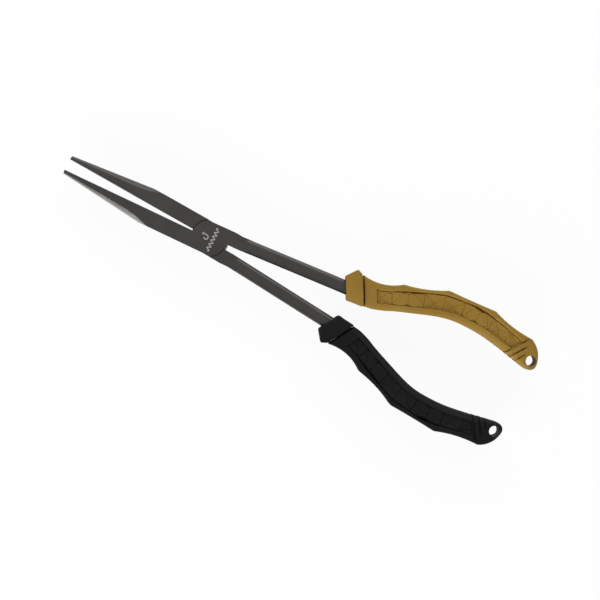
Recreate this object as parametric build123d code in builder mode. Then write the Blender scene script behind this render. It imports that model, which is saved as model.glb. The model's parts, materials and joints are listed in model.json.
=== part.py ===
"""Long-reach fishing pliers: two lap-jointed steel halves on one rivet, with moulded two-part grips.

Units are millimetres. +X runs from the pivot to the grips, the nose points to -X, +Z is up out of the
clean front face. The two halves are the same forging: the rear one is the front one turned over about X.
Each piece is drawn in its half's own frame with the jaws shut: the pivot is the origin, the half's arm lies
on its +Y side, its jaw on its -Y side and its disc on its +Z side.
"""

from build123d import *
import math
import os

os.makedirs("parts", exist_ok=True)

# Overall sizes
nose_reach = 87.8  # pivot to the tip of the jaws
guard_x = 78.8  # pivot to the middle of the front face of the finger guard
grip_length = 112.5  # front face of the guard to the heel of the grip
drawn_grip_length = 112.5  # the grip's outline below is drawn at this length, and stretches
rest_angle = 2.03  # each half stands this many degrees open from shut

# Joint
head_thick = 12.0
head_half_width = 8.75
disc_radius = 10.1
disc_gap = 0.12  # running gap all round each disc
lap_gap = 0.06  # running gap between the two discs
jaw_gap = 0.06  # each jaw face stops this far short of the middle
arm_inner_y = 1.15  # inner edge of the arm where it leaves the head
rivet_radius = 3.5
rivet_run = 0.04  # running fit of the rivet in the rear half
rivet_head_radius = 5.2
rivet_head_depth = 1.7
rivet_blind_depth = 4.2  # how far the rivet is pressed into the front half

# Nose
cheek_x = 40.5  # where the parallel cheeks give way to the cone
cheek_round_x = 31.0  # where the rounding of the cheeks begins
tip_radius = 2.35
cone_run_out = 0.6  # the turning leaves the head's corners by this much
tip_half_thick = 1.9
taper_x = 47.0  # where the nose begins to thin
tooth_pitch = 1.3
tooth_depth = 0.45
teeth_start_x = 47.0  # the serrations run from here to the tip

# Arm and the tang inside the grip
arm_angle = 2.8
arm_width = 7.45
arm_thick = 8.2
arm_edge = 2.0
arm_start_x = 16.0  # where the arm's straight edges begin
arm_blend = 2.5  # from there the head has thinned down to the arm after this length
head_flat_end = 2.0  # the ground faces end this far before the arm starts
head_step = 4.0  # the head's sides turn in this far before the arm starts
head_flare = 0.2
tang_width = 5.6
tang_thick = 5.0
tang_reach = 90.0  # guard face to the end of the tang
tang_x = 3.0  # the arm's full section runs this far into the guard
mould_gap = 0.05

# Grip
core_width = 9.0
core_thick = 9.0
core_edge = 2.0
core_seat = 0.3  # the core stops this far short of the arm's shoulder
core_end_wall = 4.0
guard_tilt = 27.0  # the guard leans back this far
guard_length = 9.2
neck_top = 6.3  # the guard's back and the sleeve's face reach this far across the guard's axis
neck_foot = -10.7
guard_thick = 17.5
guard_edge = 0.8
groove_width = 0.6
sleeve_thick = 14.8
sleeve_edge = 1.2
tail_thick = 11.0
tail_x = 99.5  # guard face to the start of the thinner tail
lanyard_radius = 3.0
lanyard_x = 108.0
lanyard_y = 7.0
panel_depth = 1.2  # pocket for the inlay, below the rim
panel_sunk = 0.3  # the inlay lies this far below the rim
slot_width = 0.8
slot_depth = 1.0
slot_heading = 53.5  # the tail slots slant this far from the shut axis
slot_x = 92.9  # where the first slot crosses the inner edge
slot_y = 5.4
slot_step_x = 3.4
slot_step_y = -0.8
slot_lengths = [16.0, 10.5, 5.5]

half_head = head_thick / 2
pivot_x = (nose_reach - guard_x - grip_length) / 2
pivot_height = max(guard_thick, sleeve_thick) / 2
grip_stretch = grip_length / drawn_grip_length
arm_rise = math.tan(math.radians(arm_angle))
arm_mid_y = arm_inner_y + arm_width / 2
guard_y = arm_mid_y + (guard_x - arm_start_x) * arm_rise


def rest_frame(turn, face):
    """The plane of one half: its X along the shut axis turned by the rest angle, its Z out of its disc."""
    heading = math.radians(turn)
    along = (math.cos(heading), math.sin(heading), 0)
    return Plane(origin=(pivot_x, 0, pivot_height), x_dir=along, z_dir=(0, 0, face))


front_frame = rest_frame(rest_angle, 1)
rear_frame = rest_frame(-rest_angle, -1)
halves = {"gold": (front_frame, "front", "back"), "black": (rear_frame, "back", "front")}


def grip_point(x, y):
    """A point of the grip, from the middle of the guard's front face."""
    return (guard_x + x * grip_stretch, guard_y + y)


def guard_point(along, across):
    """A point of the guard, along and across its own leaning axis."""
    lean = math.radians(guard_tilt)
    x = along * math.cos(lean) - across * math.sin(lean)
    y = along * math.sin(lean) + across * math.cos(lean)
    return (guard_x + x, guard_y + y)


def spine():
    """Middle line of the core, from the arm's shoulder to the closed end of the core."""
    knots = [(22.0, 3.9), (37.0, 9.4), (52.0, 14.4), (67.0, 15.9), (81.0, 14.8)]
    root_x = tang_x + core_seat
    start = (guard_x + root_x, guard_y + root_x * arm_rise)
    end = grip_point(tang_reach + core_end_wall, 11.6)
    points = [start] + [grip_point(*knot) for knot in knots] + [end]
    return Spline(points, tangents=[(1, arm_rise), (3, -1)])


def sleeve_outline(back_off):
    """Plan outline of the grip body, its face against the groove set back along the guard's axis."""
    top = guard_point(back_off, neck_top)
    foot = guard_point(back_off, neck_foot)
    crests = [top, grip_point(27.7, 14.9), grip_point(51.5, 22.5), grip_point(79.1, 23.2)]
    shoulder = grip_point(103.4, 18.0)
    heel = grip_point(111.9, 6.0)
    toe = grip_point(107.3, 2.1)
    ThreePointArc(crests[0], grip_point(15.5, 9.8), crests[1])
    ThreePointArc(crests[1], grip_point(39.6, 17.6), crests[2])
    ThreePointArc(crests[2], grip_point(65.3, 22.65), crests[3])
    ThreePointArc(crests[3], grip_point(91.3, 19.4), shoulder)
    heel_arc = ThreePointArc(shoulder, grip_point(109.2, 13.4), heel)
    toe_arc = TangentArc(heel, toe, tangent=heel_arc % 1)
    belly = [grip_point(88.0, 6.5), grip_point(66.0, 8.9), grip_point(50.0, 6.4), grip_point(30.0, -0.3)]
    Spline([toe] + belly + [grip_point(18.0, -4.6), foot], tangents=[toe_arc % 1, (-5, 0.6)])
    Line(foot, top)


def slot_point(distance, index=0):
    """A point of a tail slot, from where its middle line crosses the inner edge of the grip."""
    heading = math.radians(slot_heading)
    x = slot_x + index * slot_step_x + distance * math.cos(heading)
    y = slot_y + index * slot_step_y + distance * math.sin(heading)
    return (x, y)


def panel_outline():
    """Plan outline of an inlay and of its pocket."""
    with BuildSketch(Plane.XY) as outline:
        with BuildLine():
            upper = [(16.6, 6.9), (34.7, 14.2), (52.0, 20.7), (69.0, 21.4), (85.9, 19.0), slot_point(12.1)]
            lower = [slot_point(3.8), (76.7, 12.0), (60.0, 12.2), (41.5, 7.3), (20.2, -0.5)]
            top = Spline([grip_point(*point) for point in upper])
            foot = Spline([grip_point(*point) for point in lower])
            Line(top @ 1, foot @ 0)
            Line(foot @ 1, top @ 0)
        make_face()
    return outline.sketch


with BuildLine() as spine_path:
    core_line = spine()
spine_start = core_line @ 0
tang_line = core_line.trim(0, 1 - core_end_wall / core_line.length)


def tang_plan(gap):
    """Plan of the tang and its root in the arm's end, widened all round by a gap."""
    trace(tang_line, line_width=tang_width + 2 * gap)
    with Locations(spine_start):
        Rectangle(tang_width, tang_width + 2 * gap, rotation=arm_angle)


# One forging: jaw, half-thickness disc and arm
far_x = guard_x + tang_x
far_y = arm_inner_y + (far_x - arm_start_x) * arm_rise
jaw_plan = [
    (-nose_reach, -jaw_gap),
    (-nose_reach, -tip_radius),
    (-cheek_x, -head_half_width),
    (0, -head_half_width),
    (0, -jaw_gap),
]
arm_plan = [
    (0, head_half_width),
    (arm_start_x - head_step, head_half_width + head_flare),
    (arm_start_x, arm_inner_y + arm_width),
    (far_x, far_y + arm_width),
    (far_x, far_y),
    (arm_start_x, arm_inner_y),
    (0, arm_inner_y),
]
cone_clear = math.hypot(head_half_width, half_head) + cone_run_out
tooth_side = tooth_depth * math.sqrt(2)

with BuildPart() as turned_nose:
    # everything that the turning of the cheeks and the tip leaves
    with BuildSketch(Plane.XY):
        Polygon(
            (-nose_reach, 0),
            (-nose_reach, tip_radius),
            (-cheek_x, head_half_width),
            (-cheek_round_x, cone_clear),
            (far_x, cone_clear * 2),
            (far_x, 0),
            align=None,
        )
    revolve(axis=Axis.X)

with BuildPart() as side_form:
    # side view: the nose thins to the tip, the arm is thinner than the head
    with BuildSketch(Plane.XZ.offset(-2 * disc_radius)):
        Polygon(
            (-nose_reach, tip_half_thick),
            (-taper_x, half_head),
            (arm_start_x - head_flat_end, half_head),
            (arm_start_x + arm_blend, arm_thick / 2),
            (far_x, arm_thick / 2),
            (far_x, -arm_thick / 2),
            (arm_start_x + arm_blend, -arm_thick / 2),
            (arm_start_x - head_flat_end, -half_head),
            (-taper_x, -half_head),
            (-nose_reach, -tip_half_thick),
            align=None,
        )
    extrude(amount=4 * disc_radius)

with BuildPart() as forging:
    with BuildSketch(Plane.XY.offset(-half_head)):
        Circle(disc_radius)
        Rectangle(2 * disc_radius, 2 * head_half_width, mode=Mode.INTERSECT)
        Polygon(*jaw_plan, align=None)
        Polygon(*arm_plan, align=None)
    extrude(amount=head_thick)
    # the other half's disc turns in this pocket
    with BuildSketch(Plane.XY.offset(-half_head)):
        Circle(disc_radius + disc_gap)
    extrude(amount=half_head + lap_gap / 2, mode=Mode.SUBTRACT)
    add(turned_nose.part, mode=Mode.INTERSECT)
    add(side_form.part, mode=Mode.INTERSECT)
    # the long edges of the arm are rolled over
    arm_edges = forging.edges().filter_by(lambda edge: edge.center().X > arm_start_x + arm_blend)
    fillet(arm_edges.filter_by(lambda edge: edge.length > arm_width * 2), radius=arm_edge)
    # serrations across the gripping face
    teeth = int((nose_reach - teeth_start_x) / tooth_pitch)
    with BuildSketch(Plane.XY.offset(-half_head)):
        for index in range(1, teeth):
            with Locations((-teeth_start_x - index * tooth_pitch, -jaw_gap)):
                Rectangle(tooth_side, tooth_side, rotation=45)
    extrude(amount=head_thick, mode=Mode.SUBTRACT)
    # the tang follows the middle of the grip
    with BuildSketch(Plane.XY.offset(-tang_thick / 2)):
        tang_plan(0)
    extrude(amount=tang_thick)

with BuildPart(front_frame) as front_half:
    add(forging.part)
    # blind hole that the rivet is pressed into, from the inside
    with BuildSketch(front_frame):
        Circle(rivet_radius)
    extrude(amount=rivet_blind_depth, mode=Mode.SUBTRACT)
front_half.part.label = "front_half"
export_step(front_half.part, "parts/front_half.step")

with BuildPart(rear_frame) as rear_half:
    add(forging.part)
    # running bore and countersink for the rivet
    with BuildSketch(rear_frame):
        Circle(rivet_radius + rivet_run)
    extrude(amount=half_head, mode=Mode.SUBTRACT)
    with BuildSketch(rear_frame.offset(half_head - rivet_head_depth)):
        Circle(rivet_radius + rivet_run)
    with BuildSketch(rear_frame.offset(half_head)):
        Circle(rivet_head_radius + rivet_run)
    loft(mode=Mode.SUBTRACT)
rear_half.part.label = "rear_half"
export_step(rear_half.part, "parts/rear_half.step")

with BuildPart() as pivot_rivet:
    # shank from the blind hole to the countersunk head, flush with the back of the rear half
    with BuildSketch(Plane(front_frame.origin, x_dir=(1, 0, 0), z_dir=(0, -1, 0))):
        Polygon(
            (0, rivet_blind_depth),
            (rivet_radius, rivet_blind_depth),
            (rivet_radius, rivet_head_depth - half_head),
            (rivet_head_radius, -half_head),
            (0, -half_head),
            align=None,
        )
    revolve(axis=Axis(front_frame.origin, (0, 0, 1)))
pivot_rivet.part.label = "pivot_rivet"
export_step(pivot_rivet.part, "parts/pivot_rivet.step")


def core_block(gap):
    """The grip core's outside, or with a gap the room for it in the guard and the sleeve."""
    with BuildPart() as block:
        with BuildSketch(Plane.XY.offset(-core_thick / 2 - gap)):
            trace(core_line, line_width=core_width + 2 * gap)
        extrude(amount=core_thick + 2 * gap)
        long_edges = block.edges().filter_by(lambda edge: edge.length > core_thick * 2)
        fillet(long_edges, radius=core_edge)
    return block.part


core_room = core_block(mould_gap)

# Moulded grip, drawn once and placed on both halves
with BuildPart() as grip_core:
    add(core_block(0))
    # the tang lies in this
    with BuildSketch(Plane.XY.offset(-tang_thick / 2 - mould_gap)):
        tang_plan(mould_gap)
    extrude(amount=tang_thick + 2 * mould_gap, mode=Mode.SUBTRACT)

with BuildPart() as finger_guard:
    guard_back = [(guard_length - 2.35, 9.5), (guard_length, neck_top), (guard_length, neck_foot - 0.25)]
    guard_outline = [(0, 6.4)] + guard_back + [(2.9, -8.2), (0.3, -7.35), (0, -6.0)]
    with BuildSketch(Plane.XY.offset(-guard_thick / 2)):
        Polygon(*[guard_point(*corner) for corner in guard_outline], align=None)
    extrude(amount=guard_thick)
    faces = finger_guard.faces().sort_by(Axis.Z)
    chamfer(faces[0].edges() + faces[-1].edges(), length=guard_edge)
    add(core_room, mode=Mode.SUBTRACT)
    # opening for the full section of the arm
    with BuildSketch(Plane.XY.offset(-arm_thick / 2 - mould_gap)):
        Polygon(
            (arm_start_x, arm_inner_y - mould_gap),
            (far_x + 2 * core_seat, far_y - mould_gap),
            (far_x + 2 * core_seat, far_y + arm_width + mould_gap),
            (arm_start_x, arm_inner_y + arm_width + mould_gap),
            align=None,
        )
    extrude(amount=arm_thick + 2 * mould_gap, mode=Mode.SUBTRACT)

with BuildPart() as grip_sleeve:
    with BuildSketch(Plane.XY.offset(-sleeve_thick / 2)):
        with BuildLine():
            sleeve_outline(guard_length + groove_width)
        make_face()
    extrude(amount=sleeve_thick)
    # every long edge is rounded, from one end of the face at the groove to the other
    neck_face = grip_sleeve.faces().sort_by(Axis.X)[0]
    rims = grip_sleeve.faces().filter_by(Axis.Z).edges()
    fillet(rims - neck_face.edges(), radius=sleeve_edge)
    # side view: level over the inlays, thinner towards the heel
    with BuildSketch(Plane.XZ.offset(-guard_x)):
        Polygon(
            (guard_x - guard_length, sleeve_thick / 2),
            (guard_x + tail_x, sleeve_thick / 2),
            (guard_x + grip_length, tail_thick / 2),
            (guard_x + grip_length, -tail_thick / 2),
            (guard_x + tail_x, -sleeve_thick / 2),
            (guard_x - guard_length, -sleeve_thick / 2),
            align=None,
        )
    extrude(amount=2 * guard_x, mode=Mode.INTERSECT)
    add(core_room, mode=Mode.SUBTRACT)
    # pockets for the two inlays
    with BuildSketch(Plane.XY.offset(sleeve_thick / 2 - panel_depth)):
        add(panel_outline())
    extrude(amount=panel_depth, mode=Mode.SUBTRACT)
    with BuildSketch(Plane.XY.offset(-sleeve_thick / 2)):
        add(panel_outline())
    extrude(amount=panel_depth, mode=Mode.SUBTRACT)
    # slanted slots across both faces of the tail, the first at the end of the inlay
    for index, slot_length in enumerate(slot_lengths):
        middle = grip_point(*slot_point(slot_length / 2 - slot_width, index))
        for low in (sleeve_thick / 2 - slot_depth, -sleeve_thick / 2):
            with BuildSketch(Plane.XY.offset(low)):
                with Locations(middle):
                    SlotOverall(slot_length + 2 * slot_width, slot_width, rotation=slot_heading)
            extrude(amount=slot_depth, mode=Mode.SUBTRACT)
    # lanyard hole through the heel
    with BuildSketch(Plane.XY.offset(-sleeve_thick / 2)):
        with Locations(grip_point(lanyard_x, lanyard_y)):
            Circle(lanyard_radius)
    extrude(amount=sleeve_thick, mode=Mode.SUBTRACT)

with BuildPart() as upper_inlay:
    with BuildSketch(Plane.XY.offset(sleeve_thick / 2 - panel_depth)):
        add(panel_outline())
    extrude(amount=panel_depth - panel_sunk)

with BuildPart() as lower_inlay:
    mirror(upper_inlay.part, about=Plane.XY)

for colour, (frame, upper_name, lower_name) in halves.items():
    pieces = {
        "grip_core": grip_core,
        "finger_guard": finger_guard,
        "grip_sleeve": grip_sleeve,
        upper_name + "_inlay": upper_inlay,
        lower_name + "_inlay": lower_inlay,
    }
    for piece_name, piece in pieces.items():
        with BuildPart(frame) as placed:
            add(piece.part)
        placed.part.label = colour + "_" + piece_name
        export_step(placed.part, "parts/" + placed.part.label + ".step")
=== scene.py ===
import json
import math

import bmesh
import bpy
import numpy as np
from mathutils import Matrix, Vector


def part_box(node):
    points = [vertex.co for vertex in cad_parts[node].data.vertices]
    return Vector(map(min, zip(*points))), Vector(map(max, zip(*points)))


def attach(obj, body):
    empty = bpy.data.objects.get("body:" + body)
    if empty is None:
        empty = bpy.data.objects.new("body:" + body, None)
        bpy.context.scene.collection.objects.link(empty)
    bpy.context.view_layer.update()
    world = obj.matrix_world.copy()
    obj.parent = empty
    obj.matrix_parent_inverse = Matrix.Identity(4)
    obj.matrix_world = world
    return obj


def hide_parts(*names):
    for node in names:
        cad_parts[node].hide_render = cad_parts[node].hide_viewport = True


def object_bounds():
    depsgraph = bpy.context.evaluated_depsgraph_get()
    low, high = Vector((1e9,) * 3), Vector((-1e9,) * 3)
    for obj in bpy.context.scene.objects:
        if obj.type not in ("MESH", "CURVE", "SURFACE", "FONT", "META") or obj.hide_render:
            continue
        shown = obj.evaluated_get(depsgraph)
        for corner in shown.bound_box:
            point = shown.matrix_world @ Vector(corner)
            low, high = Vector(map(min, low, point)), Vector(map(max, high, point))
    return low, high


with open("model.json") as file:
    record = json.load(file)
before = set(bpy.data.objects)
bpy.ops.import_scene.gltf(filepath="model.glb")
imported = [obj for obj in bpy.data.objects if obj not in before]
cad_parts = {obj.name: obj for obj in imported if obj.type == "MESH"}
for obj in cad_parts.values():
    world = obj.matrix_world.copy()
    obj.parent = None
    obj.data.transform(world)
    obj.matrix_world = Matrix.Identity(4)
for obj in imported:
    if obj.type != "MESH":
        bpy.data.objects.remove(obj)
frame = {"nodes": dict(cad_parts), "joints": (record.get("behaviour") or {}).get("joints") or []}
cadLow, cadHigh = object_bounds()
pivot = Vector(frame["joints"][0]["pos_m"])
print("frame loaded, pivot at", [round(v, 4) for v in pivot])

mm = 0.001

# the two halves are one shape turned over about X, so a grip is drawn once, in a half's own shut frame
halves = {
    "gold": {"body": "front", "turn": 2.03, "face": 1, "fronts": ("front", "back")},
    "black": {"body": "rear", "turn": -2.03, "face": -1, "fronts": ("back", "front")},
}

# the sleeve, in mm; its plan starts at the middle of the guard's front face
grip = {
    "startX": 78.8,  # from the pivot, half shut
    "startY": 7.946,
    "groove": 0.72,  # between guard and sleeve
    "half": 7.4,  # half the thickness of the sleeve
    "tailHalf": 5.5,
    "tailFrom": 99.5,
    "length": 112.5,
    "outerRound": 1.5,
    "innerRound": 3.6,
    "footRound": 2.2,  # the inner edge's rounding where it meets the guard
    "recess": 1.2,
    "step": 0.3,  # first drop at the rim, before the sloping wall
    "outerWall": 1.35,  # the recess's wall slopes over this width on the outer side
    "innerWall": 0.3,
}

# the guard, along and across its own leaning axis
guard = {
    "tilt": 27.0,
    "length": 9.2,
    "half": 8.75,
    "edge": 0.75,  # rounding of its edges
    "outline": [(0, 6.4), (6.85, 9.5), (9.2, 6.3), (9.2, -10.95), (2.9, -8.2), (0.3, -7.35), (0, -6.0)],
}


def addNode(tree, kind, settings=None, links=None):
    node = tree.nodes.new(kind)
    for key, value in (settings or {}).items():
        if isinstance(key, str) and hasattr(node, key):
            setattr(node, key, value)
        else:
            node.inputs[key].default_value = value
    for key, source in (links or {}).items():
        tree.links.new(source, node.inputs[key])
    return node


def placed(half, points):  # half's shut frame in mm to the row's frame in metres
    turn = math.radians(half["turn"])
    c, s, face = math.cos(turn), math.sin(turn), half["face"]
    p = np.asarray(points, float)
    x = p[:, 0] * c - p[:, 1] * s * face
    y = p[:, 0] * s + p[:, 1] * c * face
    out = np.stack([x, y, p[:, 2] * face], 1) * mm
    return out + np.array(pivot)


def makePiece(name, points, faces, half=None, smoothAngle=35.0):
    mesh = bpy.data.meshes.new(name)
    place = placed(half, points) if half else np.asarray(points, float)
    mesh.from_pydata([tuple(p) for p in place], [], [tuple(f) for f in faces])
    mesh.validate()
    piece = bpy.data.objects.new(name, mesh)
    bpy.context.scene.collection.objects.link(piece)
    closeUp(piece, smoothAngle)
    return piece


def closeUp(piece, smoothAngle=35.0):  # merges doubles, points the faces outwards, keeps hard edges hard
    work = bmesh.new()
    work.from_mesh(piece.data)
    bmesh.ops.remove_doubles(work, verts=work.verts, dist=1e-6)
    bmesh.ops.recalc_face_normals(work, faces=work.faces)
    work.to_mesh(piece.data)
    work.free()
    piece.data.shade_smooth()
    piece.data.set_sharp_from_angle(angle=math.radians(smoothAngle))


def applyModifiers(piece):
    graph = bpy.context.evaluated_depsgraph_get()
    made = bpy.data.meshes.new_from_object(piece.evaluated_get(graph))
    piece.modifiers.clear()
    piece.data = made


def cutBy(piece, cutters):
    for cutter in cutters:
        step = piece.modifiers.new("cut", "BOOLEAN")
        step.operation = "DIFFERENCE"
        step.solver = "EXACT"
        step.object = cutter
    applyModifiers(piece)
    for cutter in cutters:
        bpy.data.objects.remove(cutter)
    closeUp(piece)


def gripPoint(x, y):
    return np.array([grip["startX"] + x, grip["startY"] + y])


def guardPoint(along, across):
    c, s = math.cos(math.radians(guard["tilt"])), math.sin(math.radians(guard["tilt"]))
    return gripPoint(along * c - across * s, along * s + across * c)


def arcThrough(a, b, c, count):  # points of the arc a-b-c
    (ax, ay), (bx, by), (cx, cy) = a, b, c
    aa, bb, cc = ax**2 + ay**2, bx**2 + by**2, cx**2 + cy**2
    d = 2 * (ax * (by - cy) + bx * (cy - ay) + cx * (ay - by))
    ux = (aa * (by - cy) + bb * (cy - ay) + cc * (ay - by)) / d
    uy = (aa * (cx - bx) + bb * (ax - cx) + cc * (bx - ax)) / d
    r = math.hypot(ax - ux, ay - uy)
    start = math.atan2(ay - uy, ax - ux)

    def sweep(p):
        return (math.atan2(p[1] - uy, p[0] - ux) - start) % (2 * math.pi)

    end, middle = sweep(c), sweep(b)
    if middle > end:
        end -= 2 * math.pi
    angles = start + np.linspace(0, end, count)
    return np.stack([ux + r * np.cos(angles), uy + r * np.sin(angles)], 1)


def smoothThrough(points, count):  # a Catmull-Rom curve, evenly spaced
    p = [np.asarray(q, float) for q in points]
    p = [2 * p[0] - p[1]] + p + [2 * p[-1] - p[-2]]
    out = []
    for i in range(1, len(p) - 2):
        for t in np.linspace(0, 1, 24, endpoint=False):
            a, b, c, d = p[i - 1 : i + 3]
            bend, twist = 2 * a - 5 * b + 4 * c - d, 3 * b - a - 3 * c + d
            out.append(0.5 * (2 * b + (c - a) * t + bend * t**2 + twist * t**3))
    out.append(p[-2])
    return evenly(np.array(out), count)


def lengthAlong(line):
    return np.concatenate([[0], np.cumsum(np.hypot(*np.diff(line, axis=0).T))])


def evenly(line, count):
    run = lengthAlong(line)
    at = np.linspace(0, run[-1], count)
    return np.stack([np.interp(at, run, line[:, k]) for k in (0, 1)], 1)


def pointAt(line, length):
    run = lengthAlong(line)
    return np.array([np.interp(length, run, line[:, k]) for k in (0, 1)])


def crossings(p, d, line):  # where p + d*q crosses a line: each q, with the length along the line
    n = np.array([-d[1], d[0]])
    side = (line - p) @ n
    run = lengthAlong(line)
    found = []
    for i in np.nonzero(side[:-1] * side[1:] <= 0)[0]:
        share = side[i] / (side[i] - side[i + 1]) if side[i] != side[i + 1] else 0.0
        hit = line[i] + (line[i + 1] - line[i]) * share
        found.append((float((hit - p) @ d), float(run[i] + (run[i + 1] - run[i]) * share)))
    return sorted(found)


def sleeveCurves():
    back = guard["length"] + grip["groove"]
    top, foot = guardPoint(back, 6.3), guardPoint(back, -10.7)
    knots = [top, gripPoint(15.5, 9.8), gripPoint(27.7, 14.9), gripPoint(39.6, 17.6), gripPoint(51.5, 22.5)]
    knots += [gripPoint(65.3, 22.65), gripPoint(79.1, 23.2), gripPoint(91.3, 19.4), gripPoint(103.4, 18.0)]
    knots += [gripPoint(109.2, 13.4), gripPoint(111.9, 6.0), gripPoint(111.05, 3.25), gripPoint(107.3, 2.1)]
    arcs = [arcThrough(*knots[i : i + 3], 60) for i in range(0, 12, 2)]
    outer = evenly(np.concatenate([arc[:-1] for arc in arcs[:-1]] + arcs[-1:]), 420)
    soft = outer.copy()
    for _ in range(4):  # takes the points off the crests
        soft[1:-1] = (soft[:-2] + 2 * soft[1:-1] + soft[2:]) / 4
    belly = [(107.3, 2.1), (98.0, 4.15), (88.0, 6.5), (77.0, 8.35), (66.0, 8.9), (58.0, 8.3)]
    belly += [(50.0, 6.4), (40.0, 3.1), (30.0, -0.3), (24.0, -2.75), (18.0, -4.5)]
    inner = smoothThrough([gripPoint(*p) for p in belly] + [foot], 320)[::-1]
    return soft, inner


outerLine, innerLine = sleeveCurves()
wholeLine = np.concatenate([outerLine, innerLine[::-1][1:]])

recessOuter = [(15.2, 6.35), (25.6, 10.4), (34.7, 14.25), (43.9, 18.2), (52.0, 20.6), (60.0, 21.4)]
recessOuter += [(69.0, 21.4), (78.0, 20.6), (85.9, 19.0), (93.0, 16.9), (100.1, 15.1)]
recessInner = [(18.8, -1.03), (31.4, 3.7), (41.5, 7.3), (51.6, 10.7), (60.0, 12.2), (68.0, 12.5)]
recessInner += [(76.7, 12.0), (85.6, 10.4), (95.2, 8.45)]
rimOuter = smoothThrough([gripPoint(*p) for p in recessOuter], 200)
rimInner = smoothThrough([gripPoint(*p) for p in recessInner], 200)


def edgeDrop(points):  # how far the rounded edge lies below the face, at each point
    runs = lengthAlong(wholeLine)
    toe = lengthAlong(outerLine)[-1]
    stops = [0, toe - 4, toe + 16, runs[-1] - 6, runs[-1]]
    radii = np.interp(runs, stops, [grip["outerRound"]] * 2 + [grip["innerRound"]] * 2 + [grip["footRound"]])
    a, b = wholeLine[:-1], wholeLine[1:]
    ab = b - a
    size = (ab**2).sum(1)
    drop = np.zeros(len(points))
    for i, p in enumerate(points):
        t = np.clip(((p - a) * ab).sum(1) / size, 0, 1)
        off = a + ab * t[:, None] - p
        d2 = (off**2).sum(1)
        k = int(d2.argmin())
        d, r = math.sqrt(d2[k]), radii[k]
        drop[i] = r - math.sqrt(max(r * r - max(r - d, 0) ** 2, 0))
    return drop


def halfThickness(x):  # the sleeve thins towards the heel
    share = np.clip((x - grip["startX"] - grip["tailFrom"]) / (grip["length"] - grip["tailFrom"]), 0, 1)
    return grip["half"] - (grip["half"] - grip["tailHalf"]) * share


def stationLines():  # lines across the grip: leaning like the groove in front, like the tail slots behind
    wallD = rimInner[0] - rimOuter[0]
    wallD = wallD / np.linalg.norm(wallD)
    o1 = [c for c in crossings(rimOuter[0], wallD, outerLine) if c[0] < 0][-1][1]
    i1 = [c for c in crossings(rimOuter[0], wallD, innerLine) if c[0] > 0][0][1]
    heading = math.radians(slots["heading"])
    d = np.array([math.cos(heading), math.sin(heading)])
    p0 = gripPoint(*slots["start"])
    o2 = [c for c in crossings(p0, d, outerLine) if c[0] > 5][0][1]
    i2 = [c for c in crossings(p0, d, innerLine) if abs(c[0]) < 5][0][1]
    lines = []
    for share in [0, 0.03, 0.07] + list(np.linspace(0.15, 1, 10)):
        lines.append((pointAt(outerLine, o1 * share), pointAt(innerLine, i1 * share), "neck"))
    count, clear = 130, 0.3 / (o2 - o1)  # the first and last line stand just off the neck's and the tail's
    for k in range(count + 1):
        share = min(max(k / count, clear), 1 - clear)
        a, b = pointAt(outerLine, o1 + (o2 - o1) * share), pointAt(innerLine, i1 + (i2 - i1) * share)
        lines.append((a, b, "panel"))
    n = np.array([d[1], -d[0]])
    reach = float(((wholeLine - p0) @ n).max())
    for k in range(0, 46):
        offset = reach * math.sin(math.pi / 2 * k / 46.5)
        q = [hit[0] for hit in crossings(p0 + n * offset, d, wholeLine)]
        lines.append((p0 + n * offset + d * max(q), p0 + n * offset + d * min(q), "tail"))
    return lines


def shareOnLine(a, b, rim):
    d = b - a
    size = np.linalg.norm(d)
    hits = crossings(a, d / size, rim)
    return hits[0][0] / size if hits else None


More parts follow.
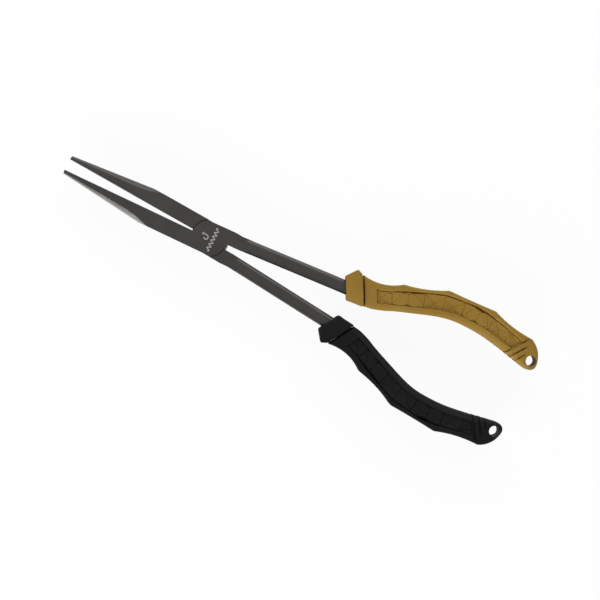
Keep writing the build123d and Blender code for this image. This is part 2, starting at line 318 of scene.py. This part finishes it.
def makeSleeve(colour, half, paint):
    lines = stationLines()
    shares = []  # where each line crosses the recess's rims, as shares of its length
    for a, b, zone in lines:
        rims = [shareOnLine(a, b, rim) if zone == "panel" else None for rim in (rimOuter, rimInner)]
        shares.append(rims)
    known = [i for i, rims in enumerate(shares) if None not in rims]
    for i, rims in enumerate(shares):  # a line that misses a rim borrows its neighbour's
        if None in rims:
            shares[i] = shares[min(known, key=lambda k: abs(k - i))]
    turn = [1 - math.cos(math.radians(g)) for g in (0, 20, 40, 60, 80)]  # spacing of the points round an edge
    front = []
    for (a, b, zone), (so, si) in zip(lines, shares):
        width = np.linalg.norm(b - a)
        ro = min(grip["outerRound"] * 1.25, width * so * 0.9)
        ri = min(grip["innerRound"] * 1.15, width * (1 - si) * 0.95)
        q = [ro * t for t in turn]  # round the outer edge, then to the recess
        qo, qi = width * so, width * si
        wo, wi = min(grip["outerWall"], (qi - qo) * 0.2), min(grip["innerWall"], (qi - qo) * 0.1)
        q += [qo - 0.12 if qo - 0.12 > q[-1] else (q[-1] + qo) / 2, qo, qo + wo * 0.16, qo + wo]
        q += list(np.linspace(qo + wo, qi - wi, 26))[1:]  # over the recess's floor
        past = min(0.12, (width - qi) * 0.02)
        q += [qi, qi + past]
        q += list(np.linspace(qi + past, width - ri, 5))[1:-1]
        q += [width - ri * t for t in turn[::-1]]  # round the inner edge
        q = np.array(q)
        d = (b - a) / width
        xy = a + d * q[:, None]
        z = halfThickness(xy[:, 0]) - edgeDrop(xy)
        if zone == "neck" and len(front) < 3:  # soft edge at the groove
            z -= (0.45, 0.12, 0.0)[len(front)]
        if zone == "panel":
            inside = (q > qo + wo * 0.5) & (q < qi - 1e-6)
            z[inside] -= grip["recess"]
            z[(q > qo + 1e-6) & ~inside & (q < qi - 1e-6)] -= grip["step"]
        front.append(np.column_stack([xy, z]))
    m = len(front[0])
    points, faces = [], []
    ring = 2 * m
    for row in front:
        points += [tuple(p) for p in row] + [(p[0], p[1], -p[2]) for p in row[::-1]]
    for i in range(len(front) - 1):
        for j in range(ring):
            k = (j + 1) % ring
            faces.append((i * ring + j, i * ring + k, (i + 1) * ring + k, (i + 1) * ring + j))
    faces.append(tuple(range(ring - 1, -1, -1)))
    last = (len(front) - 1) * ring
    faces.append(tuple(range(last, last + ring)))
    piece = makePiece(colour + "_sleeve", points, faces, half)
    cutBy(piece, [holeCutter(half), slotCutter(half, paint)])
    return piece


# the lanyard hole and its eased mouths
hole = {"x": 108.0, "y": 7.0, "radius": 3.0, "eased": 0.4, "flare": 2.2}


def holeCutter(half):
    r, centre = hole["radius"], gripPoint(hole["x"], hole["y"])
    level = float(halfThickness(centre[0]))
    mouth = [(r, level - 0.5), (r + hole["eased"], level), (r + hole["flare"], level + 1.8)]
    profile = [(radius, -z) for radius, z in mouth[::-1]] + mouth
    count = 64
    points, faces = [], []
    for radius, z in profile:
        angles = [2 * math.pi * k / count for k in range(count)]
        points += [(centre[0] + radius * math.cos(a), centre[1] + radius * math.sin(a), z) for a in angles]
    for first in range(0, (len(profile) - 1) * count, count):
        for k in range(count):
            n = (k + 1) % count
            faces.append((first + k, first + n, first + count + n, first + count + k))
    faces += [tuple(range(count))[::-1], tuple(range((len(profile) - 1) * count, len(profile) * count))]
    return makePiece("hole_cutter", points, faces, half)


# the slots across the tail, which run in from the inner edge
slots = {
    "heading": 53.5,
    "start": (92.9, 5.4),
    "step": (3.4, -0.8),
    "count": 3,
    "length": 15.6,
    "shorter": 0.27,  # each slot is shorter than the one before by this share of the first
    "width": 1.1,
    "depth": 1.05,
    "topHeight": 3.0,  # of the blank
    "web": 0.2,  # what is left between the two faces, on each side of the middle
    "sunk": 0.2,  # the blank's top starts this far under the face
}


def slotBlank():  # the first slot, along X from the grip's inner edge, rounded at its far end
    length, wide, depth = slots["length"], slots["width"] / 2, slots["depth"]
    web = slots["web"] + slots["sunk"] - grip["half"]
    stations = [(-3.0, wide, web), (0.5, wide, web), (0.9, wide, -depth - 2.0), (1.8, wide, -depth - 0.6)]
    stations += [(3.0, wide, -depth), (length * 0.72, wide, -depth)]
    for a in np.linspace(0, 1.45, 5):
        stations.append((length - wide + wide * math.sin(a), wide * math.cos(a), -depth * 0.45))
    points, faces = [], []
    for q, w, low in stations:
        points += [(q, -w, slots["topHeight"]), (q, w, slots["topHeight"]), (q, w, low), (q, -w, low)]
    for i in range(len(stations) - 1):
        faces += [(4 * i + j, 4 * i + (j + 1) % 4, 4 * i + 4 + (j + 1) % 4, 4 * i + 4 + j) for j in range(4)]
    faces += [(0, 1, 2, 3), tuple(range(len(points) - 4, len(points)))]
    return makePiece("slot_blank", np.array(points) * mm, faces)


def slotTree():  # repeats the blank along the tail, on both faces
    tree = bpy.data.node_groups.new("tailSlots", "GeometryNodeTree")
    sockets = {"Geometry": "Geometry", "Count": "Int", "Start": "Vector", "Step": "Vector"}
    sockets |= {"Heading": "Float", "Shorter": "Float", "Material": "Material"}
    for name, kind in sockets.items():
        tree.interface.new_socket(name, in_out="INPUT", socket_type="NodeSocket" + kind)
    tree.interface.new_socket("Geometry", in_out="OUTPUT", socket_type="NodeSocketGeometry")
    given = addNode(tree, "NodeGroupInput").outputs
    along = {"Count": given["Count"], "Start Location": given["Start"], "Offset": given["Step"]}
    row = addNode(tree, "GeometryNodeMeshLine", {"mode": "OFFSET"}, along)
    index = addNode(tree, "GeometryNodeInputIndex")
    times = {0: index.outputs[0], 1: given["Shorter"]}
    less = addNode(tree, "ShaderNodeMath", {"operation": "MULTIPLY"}, times)
    stretch = addNode(tree, "ShaderNodeMath", {"operation": "SUBTRACT", 0: 1.0}, {1: less.outputs[0]})
    scale = addNode(tree, "ShaderNodeCombineXYZ", {"Y": 1.0, "Z": 1.0}, {"X": stretch.outputs[0]})
    turn = addNode(tree, "ShaderNodeCombineXYZ", None, {"Z": given["Heading"]})
    shape = {"Instance": given["Geometry"], "Rotation": turn.outputs[0], "Scale": scale.outputs[0]}
    copies = addNode(tree, "GeometryNodeInstanceOnPoints", None, {"Points": row.outputs["Mesh"]} | shape)
    real = addNode(tree, "GeometryNodeRealizeInstances", None, {"Geometry": copies.outputs["Instances"]})
    under = addNode(tree, "GeometryNodeTransform", {"Scale": (1.0, 1.0, -1.0)}, {"Geometry": real.outputs[0]})
    turned = addNode(tree, "GeometryNodeFlipFaces", None, {"Mesh": under.outputs[0]})
    both = addNode(tree, "GeometryNodeJoinGeometry")
    tree.links.new(real.outputs[0], both.inputs[0])
    tree.links.new(turned.outputs[0], both.inputs[0])
    paint = {"Geometry": both.outputs[0], "Material": given["Material"]}
    painted = addNode(tree, "GeometryNodeSetMaterial", None, paint)
    addNode(tree, "NodeGroupOutput", None, {"Geometry": painted.outputs[0]})
    return tree


def slotCutter(half, paint):
    blank = slotBlank()
    level = (grip["half"] - slots["sunk"]) * mm
    for v in blank.data.vertices:
        v.co.z += level
    start, step = gripPoint(*slots["start"]) * mm, np.array(slots["step"]) * mm
    values = {"Count": slots["count"], "Start": (*start, 0.0), "Step": (*step, 0.0), "Material": paint}
    values |= {"Heading": math.radians(slots["heading"]), "Shorter": slots["shorter"]}
    repeat = blank.modifiers.new("slots", "NODES")
    repeat.node_group = slotTree()
    for item in repeat.node_group.interface.items_tree:
        if item.in_out == "INPUT" and item.name in values:
            repeat[item.identifier] = values[item.name]
    applyModifiers(blank)
    points = placed(half, np.array([v.co / mm for v in blank.data.vertices]))
    blank.data.vertices.foreach_set("co", points.ravel())
    closeUp(blank)
    return blank


# the facets of the inlay: s runs from guard to heel, t from the outer rim to the inner one
inlay = {
    "top": 0.14,  # the inlay starts inside the sloping wall
    "low": -1.14,
    "mid": -0.56,
    "high": -0.02,
    "line": 0.28,  # half the width of the parting lines
    "lineDepth": 0.26,
    # where the cells meet, along the outer and the inner rim
    "bounds": (
        (0.0, 0.0), (0.097, 0.106), (0.306, 0.320), (0.436, 0.453),
        (0.568, 0.588), (0.772, 0.792), (0.902, 0.930), (0.984, 0.984),
    ),
    "cells": ("first", "hexagons", "second", "third", "hexagons", "fourth", "fan"),  # from guard to heel
    # middle of the cross, where its arms meet the cell's two sides (none is the corner), and its two feet
    "crosses": {
        "first": (0.32, 0.55, 0.30, None, (0.0, 0.55)),
        "second": (0.51, 0.64, None, 0.40, (0.28, 0.62)),
        "third": (0.50, 0.62, 0.40, None, (0.33, 0.68)),
        "fourth": (0.48, 0.52, None, None, (0.27, 0.60)),
    },
}


def inlayFacets():
    top, low, mid, high = inlay["top"], inlay["low"], inlay["mid"], inlay["high"]
    facets = []
    for k, kind in enumerate(inlay["cells"]):
        (tl, bl), (tr, br) = inlay["bounds"][k], inlay["bounds"][k + 1]

        def at(f, t, h):
            v = (t - top) / (1 - top)
            left, right = tl + (bl - tl) * v, tr + (br - tr) * v
            return (round(left + (right - left) * f, 5), round(t, 5), round(h, 4))

        a, b, c, d = at(0, top, mid), at(1, top, mid), at(1, 1, mid), at(0, 1, mid)
        if kind == "hexagons":
            p, q, r = at(0.30, top, high), at(0.51, 0.235, high), at(0.65, 0.17, high)
            e, f, g = at(0.07, 0.83, high), at(0.285, 1, high), at(0.495, 0.75, high)
            u, w, h = at(0.80, 0.38, high), at(0.94, 0.80, high), at(0.70, 1, high)
            foot = at(0.505, 1, low)
            facets += [(p, q, g, f, e), (q, r, u, w, h, g), (a, p, e, d), (p, b, r, q), (r, b, c, w, u)]
            facets += [(d, e, f), (f, g, foot), (foot, g, h), (h, w, c)]
        elif kind == "fan":
            edge = at(1, 0.46, low)
            facets += [(a, b, edge), (a, edge, c), (a, c, d)]
        else:
            across, level, left, right, feet = inlay["crosses"][kind]
            middle, legL, legR = at(across, level, low), at(feet[0], 1, mid), at(feet[1], 1, mid)
            upL = at(0, left, mid) if left else a
            upR = at(1, right, mid) if right else b
            rings = [(a, upL, middle, upR, b), (upL, d, legL, middle)]
            rings += [(middle, legL, legR), (upR, middle, legR, c)]
            facets += [tuple(dict.fromkeys(ring)) for ring in rings]  # a corner named twice counts once
    return facets


def inlayPlan(s, t):
    ro, ri = lengthAlong(rimOuter)[-1], lengthAlong(rimInner)[-1]
    a, b = pointAt(rimOuter, ro * s), pointAt(rimInner, ri * s)
    return a + (b - a) * t


def drawnIn(corners, width):  # a facet's corners moved in from its edges, in plan, then put back on its plane
    p = corners[:, :2]
    centre = p.mean(0)
    after = np.roll(p, -1, 0)
    edge = (after - p) / np.hypot(*(after - p).T)[:, None]
    area = (p[:, 0] * after[:, 1] - p[:, 1] * after[:, 0]).sum()
    normal = np.stack([-edge[:, 1], edge[:, 0]], 1) * (1 if area > 0 else -1)
    before = np.roll(normal, 1, 0)
    bend = np.maximum(1 + (before * normal).sum(1), 0.12)
    moved = p + width * (before + normal) / bend[:, None]
    kept = ((np.roll(moved, -1, 0) - moved) * edge).sum(1)
    if kept.min() < 0.05:
        reach = np.abs(((centre - p) * normal).sum(1)).min()
        moved = p + (centre - p) * min(width / max(reach, 1e-6), 0.6)
    flat = np.column_stack([p, np.ones(len(p))])
    plane = np.linalg.lstsq(flat, corners[:, 2], rcond=None)[0]
    return np.column_stack([moved, np.column_stack([moved, np.ones(len(p))]) @ plane])


def makeInlay(colour, half, side, label):
    floor = grip["half"] - grip["recess"] - 0.1
    points, faces, seen, used = [], [], {}, {}

    def corner(key):
        if key not in seen:
            x, y = inlayPlan(key[0], key[1])
            seen[key] = len(points)
            points.append((x, y, grip["half"] + key[2]))
        return seen[key]

    for facet in inlayFacets():  # each with a sloping border down to the parting lines
        ring = [corner(key) for key in facet]
        inner = drawnIn(np.array([points[k] for k in ring]), inlay["line"])
        first = len(points)
        points += [tuple(p) for p in inner]
        faces.append(tuple(range(first, first + len(ring))))
        for k in range(len(ring)):
            n = (k + 1) % len(ring)
            faces.append((ring[k], ring[n], first + n, first + k))
            edge = tuple(sorted((ring[k], ring[n])))
            used[edge] = used.get(edge, 0) + 1
    outside = [edge for edge, times in used.items() if times == 1]  # walls and a flat underside there
    lower = {}
    for k in seen.values():
        x, y, z = points[k]
        points[k] = (x, y, max(z - inlay["lineDepth"], floor + 0.05))
    for k in {k for edge in outside for k in edge}:
        lower[k] = len(points)
        points.append((points[k][0], points[k][1], floor))
    for a, b in outside:
        faces.append((a, b, lower[b], lower[a]))
    step = {}
    for a, b in outside:
        step.setdefault(a, []).append(b)
        step.setdefault(b, []).append(a)
    loop = [outside[0][0]]
    while len(loop) < len(step):
        loop.append(next(k for k in step[loop[-1]] if k not in loop))
    faces.append(tuple(lower[k] for k in loop))
    points = [(x, y, z * side) for x, y, z in points]
    return makePiece(colour + "_" + label + "_panel", points, faces, half, smoothAngle=12)


def makeGuard(colour, half):
    plan = [guardPoint(*p) for p in guard["outline"]]
    points = [(p[0], p[1], z) for z in (-guard["half"], guard["half"]) for p in plan]
    count = len(plan)
    faces = [tuple(range(count)), tuple(range(count, 2 * count))]
    faces += [(k, (k + 1) % count, count + (k + 1) % count, count + k) for k in range(count)]
    piece = makePiece(colour + "_guard", points, faces, half)
    soft = piece.modifiers.new("edges", "BEVEL")
    soft.width = guard["edge"] * mm
    soft.segments = 3
    soft.limit_method = "ANGLE"
    soft.angle_limit = math.radians(15)
    applyModifiers(piece)
    closeUp(piece, 20)
    return piece


def shade(hexColour):  # sRGB hex to linear
    parts = [int(hexColour[k : k + 2], 16) / 255 for k in (0, 2, 4)]
    return tuple(v / 12.92 if v <= 0.04045 else ((v + 0.055) / 1.055) ** 2.4 for v in parts) + (1.0,)


white = shade("ffffff")


def newMaterial(name):
    material = bpy.data.materials.new(name)
    material.use_nodes = True
    tree = material.node_tree
    tree.nodes.clear()
    return material, tree, tree.nodes.new("ShaderNodeOutputMaterial")


def spread(ramp, low, dark, high, light):  # the two stops of a colour ramp
    for stop, place, colour in zip(ramp.color_ramp.elements, (low, high), (dark, light)):
        stop.position, stop.color = place, shade(colour)


# Forged steel under a dark phosphate coat, oiled. The eye gets a satin dark grey that is even on the
# flats and lights up softly in the bevels, broken by a very fine grain and by faint cloudy patches.
def phosphatedSteel(name, deep, pale, roughness):
    material, tree, out = newMaterial(name)
    coords = addNode(tree, "ShaderNodeTexCoord").outputs["Object"]
    # 0.25 mm crystals, some ten times the real ones so that they show
    grain = addNode(tree, "ShaderNodeTexNoise", {"Scale": 4200.0, "Detail": 2.0}, {"Vector": coords})
    # 11 mm patches where the coat took unevenly
    cloud = addNode(tree, "ShaderNodeTexNoise", {"Scale": 90.0, "Detail": 4.0}, {"Vector": coords})
    ramp = addNode(tree, "ShaderNodeValToRGB", None, {"Fac": cloud.outputs["Fac"]})
    spread(ramp, 0.35, deep, 0.70, pale)
    limits = {"From Min": 0.3, "From Max": 0.7, "To Min": roughness - 0.05, "To Max": roughness + 0.07}
    rough = addNode(tree, "ShaderNodeMapRange", limits, {"Value": grain.outputs["Fac"]})
    relief = {"Strength": 0.22, "Distance": 0.03 * mm}
    bump = addNode(tree, "ShaderNodeBump", relief, {"Height": grain.outputs["Fac"]})
    links = {"Base Color": ramp.outputs["Color"], "Roughness": rough.outputs["Result"]}
    links["Normal"] = bump.outputs["Normal"]
    body = addNode(tree, "ShaderNodeBsdfPrincipled", {"Metallic": 1.0}, links)
    tree.links.new(body.outputs["BSDF"], out.inputs["Surface"])
    return material


# Nylon moulded in a spark-eroded tool. The eye gets a dull, dry sheen with no sharp reflections, one
# colour all through, slightly lighter where hands have rubbed it.
def mouldedPlastic(name, base, rubbed, roughness):
    material, tree, out = newMaterial(name)
    coords = addNode(tree, "ShaderNodeTexCoord").outputs["Object"]
    # 0.4 mm texture, about four times the real one so that it shows
    fine = {"Scale": 2600.0, "Detail": 3.0, "Roughness": 0.6}
    spark = addNode(tree, "ShaderNodeTexNoise", fine, {"Vector": coords})
    # 17 mm patches of handling
    cloud = addNode(tree, "ShaderNodeTexNoise", {"Scale": 60.0, "Detail": 3.0}, {"Vector": coords})
    ramp = addNode(tree, "ShaderNodeValToRGB", None, {"Fac": cloud.outputs["Fac"]})
    spread(ramp, 0.3, base, 0.75, rubbed)
    limits = {"From Min": 0.3, "From Max": 0.7, "To Min": roughness - 0.05, "To Max": roughness + 0.06}
    rough = addNode(tree, "ShaderNodeMapRange", limits, {"Value": spark.outputs["Fac"]})
    relief = {"Strength": 0.3, "Distance": 0.05 * mm}
    bump = addNode(tree, "ShaderNodeBump", relief, {"Height": spark.outputs["Fac"]})
    links = {"Base Color": ramp.outputs["Color"], "Roughness": rough.outputs["Result"]}
    links["Normal"] = bump.outputs["Normal"]
    body = addNode(tree, "ShaderNodeBsdfPrincipled", {"IOR": 1.53, "Specular IOR Level": 0.2}, links)
    tree.links.new(body.outputs["BSDF"], out.inputs["Surface"])
    return material


steelFinish = phosphatedSteel("phosphated_forged_steel", "615f5d", "686664", 0.36)
rivetFinish = phosphatedSteel("ground_rivet_steel", "716f6c", "7a7774", 0.3)  # paler and glossier
# painted shade: near-black steel for the strip laid in the gap round the disc, where shadow falls
seamShadeFinish = phosphatedSteel("painted_seam_shade", "161514", "1f1d1c", 0.45)  # near black
goldFinish = mouldedPlastic("moulded_gold_nylon", "8c6c2b", "967634", 0.5)  # sandy gold
blackFinish = mouldedPlastic("moulded_black_nylon", "0f0f10", "131314", 0.55)  # deep black
coreFinish = mouldedPlastic("moulded_polypropylene", "14130f", "181712", 0.55)  # brownish black


def finish(piece, material):
    piece.data.materials.clear()
    piece.data.materials.append(material)
    piece.data.polygons.foreach_set("material_index", [0] * len(piece.data.polygons))


for name in ("front_half", "rear_half"):
    finish(frame["nodes"][name], steelFinish)
finish(frame["nodes"]["pivot_rivet"], rivetFinish)
for colour in halves:
    finish(frame["nodes"][colour + "_grip_core"], coreFinish)
print("steel and cores have their finishes")

for colour, half in halves.items():
    paint = goldFinish if colour == "gold" else blackFinish
    sleeve = makeSleeve(colour, half, paint)
    collar = makeGuard(colour, half)
    upper = makeInlay(colour, half, 1, half["fronts"][0])
    lower = makeInlay(colour, half, -1, half["fronts"][1])
    parts = ((sleeve, "_grip_sleeve", "_sleeve"), (collar, "_finger_guard", "_guard"))
    for panel, label in zip((upper, lower), half["fronts"]):
        parts += ((panel, "_" + label + "_inlay", "_inlay"),)
    for piece, node, slot in parts:
        finish(piece, paint)
        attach(piece, half["body"])
        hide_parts(colour + node)
    print(colour, "grip made,", sum(len(part[0].data.polygons) for part in parts), "faces")

# the pale print on the joint: a plain fish hook over a row of waves
mark = {
    "ink": 0.03,  # thickness of the print
    "stroke": 0.52,  # width of the waves' line
    "waveX": 2.2,
    "waveFrom": -6.6,
    "waveTo": 6.8,
    "waves": 6,
    "waveHeight": 0.95,
    "hookX": -2.0,
    "hookStroke": 0.55,
    "fineStroke": 0.3,  # the hook's eye and barb
    "tipStroke": 0.12,
}


def inkRibbon(path, widths):  # a closed flat ribbon along the path
    line = np.array(path)
    along = np.gradient(line, axis=0)
    along /= np.hypot(*along.T)[:, None]
    across = np.stack([-along[:, 1], along[:, 0]], 1) * np.array(widths)[:, None] / 2
    count = len(line)
    points = []
    for z in (0.002, mark["ink"]):
        for side in (-1, 1):
            points += [(x, y, z) for x, y in line + across * side]
    faces = []
    for i in range(count - 1):
        j = i + 1
        faces += [(i, j, count + j, count + i), (2 * count + i, 2 * count + j, 3 * count + j, 3 * count + i)]
        faces += [(i, j, 2 * count + j, 2 * count + i), (count + i, count + j, 3 * count + j, 3 * count + i)]
    for i in (0, count - 1):
        faces.append((i, count + i, 3 * count + i, 2 * count + i))
    return points, faces


def onJoint(name, strokes, thickness=1.0):  # ribbons laid on the joint's face, one piece
    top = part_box("front_half")[1].z / mm
    points, faces = [], []
    for path, widths in strokes:
        made, sides = inkRibbon(path, widths)
        faces += [tuple(k + len(points) for k in side) for side in sides]
        points += [(x + pivot.x / mm, y + pivot.y / mm, z * thickness + top) for x, y, z in made]
    return makePiece(name, np.array(points) * mm, faces)


def makeMark():
    runs = np.linspace(0, 1, 97)
    ys = mark["waveFrom"] + (mark["waveTo"] - mark["waveFrom"]) * runs
    xs = [mark["waveX"] + mark["waveHeight"] * math.sin(2 * math.pi * mark["waves"] * run) for run in runs]
    waves = list(zip(xs, ys))
    hookX = mark["hookX"]
    shank = [(hookX - 1.5, 1.0), (hookX - 0.6, 1.0), (hookX + 0.2, 1.0)]
    halfTurn, fullTurn = np.linspace(0, math.pi, 18)[1:], np.linspace(0, 2 * math.pi, 25)
    bend = [(hookX + 0.2 + 1.2 * math.sin(a), -0.2 + 1.2 * math.cos(a)) for a in halfTurn]
    hook = shank + bend + [(hookX - 0.3, -1.4), (hookX - 1.0, -1.3)]
    eye = [(hookX - 2.0 + 0.5 * math.cos(a), 1.0 + 0.5 * math.sin(a)) for a in fullTurn]
    barb = [(hookX - 0.95, -1.3), (hookX - 0.6, -1.0), (hookX - 0.2, -0.65)]
    fine, tip = mark["fineStroke"], mark["tipStroke"]
    strokes = [(waves, [mark["stroke"]] * len(waves))]
    strokes += [(hook, [mark["hookStroke"]] * (len(hook) - 2) + [0.45, tip])]
    strokes += [(eye, [fine] * len(eye)), (barb, [tip, fine, tip])]
    return onJoint("joint_print", strokes)


# Enamel ink laid by a pad on the coated steel. The eye gets a flat pale grey, slightly broken where the
# steel's grain comes through.
def padPrint(name, thin, ink):
    material, tree, out = newMaterial(name)
    coords = addNode(tree, "ShaderNodeTexCoord").outputs["Object"]
    # 0.3 mm, coarser than the real speckle so that it shows
    grain = addNode(tree, "ShaderNodeTexNoise", {"Scale": 3000.0, "Detail": 2.0}, {"Vector": coords})
    ramp = addNode(tree, "ShaderNodeValToRGB", None, {"Fac": grain.outputs["Fac"]})
    spread(ramp, 0.32, thin, 0.48, ink)
    relief = {"Strength": 0.2, "Distance": 0.02 * mm}
    bump = addNode(tree, "ShaderNodeBump", relief, {"Height": grain.outputs["Fac"]})
    links = {"Base Color": ramp.outputs["Color"], "Normal": bump.outputs["Normal"]}
    body = addNode(tree, "ShaderNodeBsdfPrincipled", {"Roughness": 0.6}, links)
    tree.links.new(body.outputs["BSDF"], out.inputs["Surface"])
    return material


# painted shade: a near-black strip on the disc's rim, where the other half runs round it, standing in for the
# shadow in that gap
seam = {
    "radius": 9.96,
    "width": 0.27,
    "arcs": ((123, 178), (303, 358)),  # degrees, on the gold half when shut
    "thickness": 0.4,  # of the print's
}


def makePaintedSeamShade():
    turn, count, r = halves["gold"]["turn"], 40, seam["radius"]
    strokes = []
    for start, end in seam["arcs"]:
        angles = np.radians(np.linspace(start, end, count) + turn)
        path = [(r * math.cos(a), r * math.sin(a)) for a in angles]
        strokes.append((path, [seam["width"]] * count))
    return onJoint("disc_seam_painted_shade", strokes, seam["thickness"])


# the painted shade in the seam round the disc, carried by the front half
seamShade = makePaintedSeamShade()
finish(seamShade, seamShadeFinish)
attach(seamShade, "front")

printed = makeMark()
finish(printed, padPrint("pad_printed_enamel", "8d8b87", "a8a6a1"))
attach(printed, "front")
print("joint print made")

# plain floor, two long softboxes, one card, and the camera straight above
studio = {
    "distance": 0.600,  # camera above the joint's middle
    "lens": 65.6,
    "roll": 27.5,
    "aim": (0.0076, -0.0070),
    "nearWatts": 12.0,
    "nearPlace": (0.0, -0.88, 0.34),
    "farWatts": 8.5,
    "farPlace": (-0.30, 0.80, 0.42),
    "boxSize": (1.3, 0.35),
    "card": 2.2,  # strength of a card beside the lower jaw, seen only as a shine in its facet
    "cardX": (-0.165, -0.082),
    "cardY": (-0.12, -0.004),
    "room": 0.32,  # plain light from all round
    "overhead": 0.42,  # what glossy faces see above them
    "farSide": 1.15,  # and towards +Y
    "paper": 0.94,  # share of the floor that shows as plain white
    "mirrored": 0.12,  # the same, as glossy faces see it
}


def flatSheet(name, xs, ys, z):
    mesh = bpy.data.meshes.new(name)
    corners = [(xs[0], ys[0], z), (xs[1], ys[0], z), (xs[1], ys[1], z), (xs[0], ys[1], z)]
    mesh.from_pydata(corners, [], [(0, 1, 2, 3)])
    sheet = bpy.data.objects.new(name, mesh)
    bpy.context.scene.collection.objects.link(sheet)
    return sheet


floor = flatSheet("floor", (-3.0, 3.0), (-3.0, 3.0), cadLow.z - 0.0002)
# A sheet of white card. The eye gets plain white with the tool's soft shadow.
floorPaper, tree, out = newMaterial("uncoated_white_card")
paper = addNode(tree, "ShaderNodeBsdfDiffuse", {"Color": shade("f2f2f2")})
lit = addNode(tree, "ShaderNodeEmission", {"Color": white, "Strength": 1.0})
path = addNode(tree, "ShaderNodeLightPath").outputs
dim = {"operation": "MULTIPLY", 1: studio["mirrored"]}
mirrored = addNode(tree, "ShaderNodeMath", dim, {0: path["Is Glossy Ray"]})
plain = {"operation": "MULTIPLY_ADD", 1: studio["paper"]}
share = addNode(tree, "ShaderNodeMath", plain, {0: path["Is Camera Ray"], 2: mirrored.outputs[0]})
both = {"Fac": share.outputs[0], 1: paper.outputs[0], 2: lit.outputs[0]}
mix = addNode(tree, "ShaderNodeMixShader", None, both)
tree.links.new(mix.outputs[0], out.inputs["Surface"])
finish(floor, floorPaper)

# The same card in full light beside the jaws. The eye gets only the pale sheen on the lower jaw's facet.
card = flatSheet("nose_card", studio["cardX"], studio["cardY"], cadLow.z - 0.0001)
cardPaper, tree, out = newMaterial("lit_white_card")
shine = addNode(tree, "ShaderNodeEmission", {"Color": white, "Strength": studio["card"]})
tree.links.new(shine.outputs[0], out.inputs["Surface"])
finish(card, cardPaper)
card.visible_camera = card.visible_diffuse = card.visible_shadow = card.visible_transmission = False

# white to the camera, dimmer as the object's light, brighter towards +Y in its reflections
world = bpy.data.worlds.new("studio")
bpy.context.scene.world = world
world.use_nodes = True
tree = world.node_tree
tree.nodes.clear()
out = tree.nodes.new("ShaderNodeOutputWorld")
room = addNode(tree, "ShaderNodeBackground", {"Color": white, "Strength": studio["room"]})
heading = addNode(tree, "ShaderNodeTexCoord").outputs["Generated"]
way = addNode(tree, "ShaderNodeSeparateXYZ", None, {"Vector": heading})
limits = {"From Min": 0.1, "From Max": 0.85, "To Min": studio["overhead"], "To Max": studio["farSide"]}
around = addNode(tree, "ShaderNodeMapRange", limits, {"Value": way.outputs["Y"]})
gleam = addNode(tree, "ShaderNodeBackground", {"Color": white}, {"Strength": around.outputs["Result"]})
seen = addNode(tree, "ShaderNodeBackground", {"Color": white, "Strength": 1.0})
path = addNode(tree, "ShaderNodeLightPath").outputs
shiny = {"Fac": path["Is Glossy Ray"], 1: room.outputs[0], 2: gleam.outputs[0]}
glossy = addNode(tree, "ShaderNodeMixShader", None, shiny)
shown = {"Fac": path["Is Camera Ray"], 1: glossy.outputs[0], 2: seen.outputs[0]}
mix = addNode(tree, "ShaderNodeMixShader", None, shown)
tree.links.new(mix.outputs[0], out.inputs["Surface"])


def softbox(side):  # aimed at the origin
    lamp = bpy.data.lights.new(side + "_box", "AREA")
    lamp.shape = "RECTANGLE"
    lamp.size, lamp.size_y = studio["boxSize"]
    lamp.energy = studio[side + "Watts"]
    holder = bpy.data.objects.new(side + "_box", lamp)
    holder.location = studio[side + "Place"]
    holder.rotation_euler = (-holder.location).to_track_quat("-Z", "Y").to_euler()
    holder.visible_glossy = False  # the steel shows the room, not the lamps
    bpy.context.scene.collection.objects.link(holder)


softbox("near")
softbox("far")

cameraData = bpy.data.cameras.new("camera")
cameraData.lens = studio["lens"]
cameraData.sensor_width = 36.0
camera = bpy.data.objects.new("camera", cameraData)
camera.location = (studio["aim"][0], studio["aim"][1], pivot.z + studio["distance"])
camera.rotation_euler = (0, 0, math.radians(studio["roll"]))
bpy.context.scene.collection.objects.link(camera)
bpy.context.scene.camera = camera
bpy.context.scene.view_settings.view_transform = "Standard"
print("studio ready")
